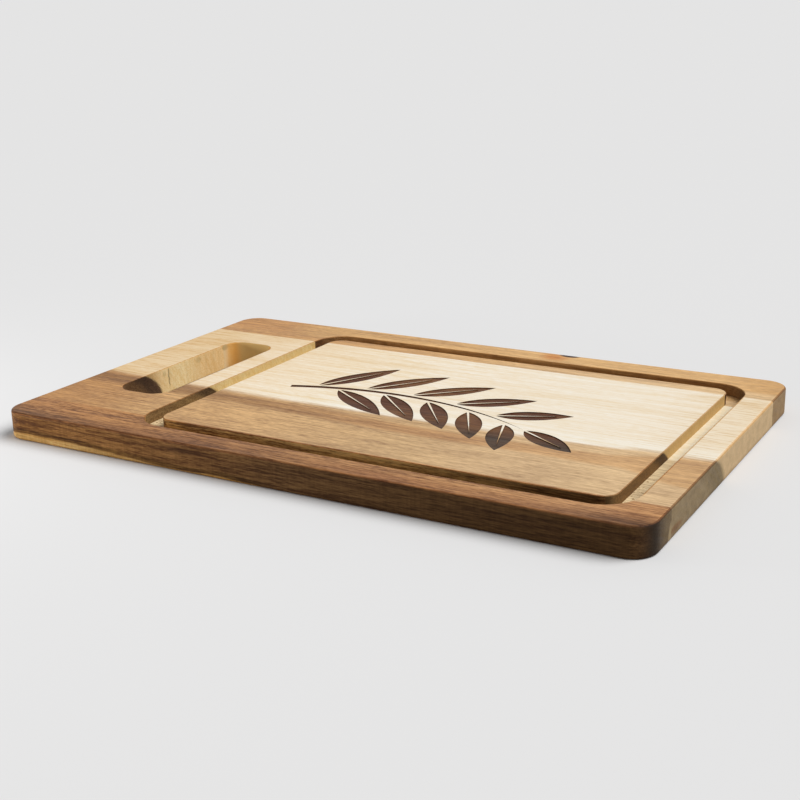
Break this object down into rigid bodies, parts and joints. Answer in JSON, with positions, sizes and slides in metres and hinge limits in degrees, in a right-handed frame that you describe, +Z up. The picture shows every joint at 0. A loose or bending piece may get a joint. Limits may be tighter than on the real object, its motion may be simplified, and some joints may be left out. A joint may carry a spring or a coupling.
{
  "type": "wooden serving board",
  "caption": "Rectangular hardwood board with a juice groove, a finger slot at one end and a sunk leaf sprig, glued up from full-length staves.",
  "frame": {"origin": "under the middle of the board, on the face it rests on", "axes": "+X along the grain, away from the finger slot; +Y across the staves, from the narrow front stave to the back one; +Z up, out of the grooved face"},
  "size_m": [0.38, 0.24, 0.016],
  "materials": {
    "front_stave_wood": "oiled reddish brown heartwood",
    "middle_stave_wood": "oiled, half tan heartwood and half cream sapwood",
    "back_stave_wood": "oiled golden brown heartwood"
  },
  "bodies": {
    "root": {"front_stave": "front_stave_wood", "middle_stave": "middle_stave_wood", "back_stave": "back_stave_wood"}
  },
  "joints": []
}
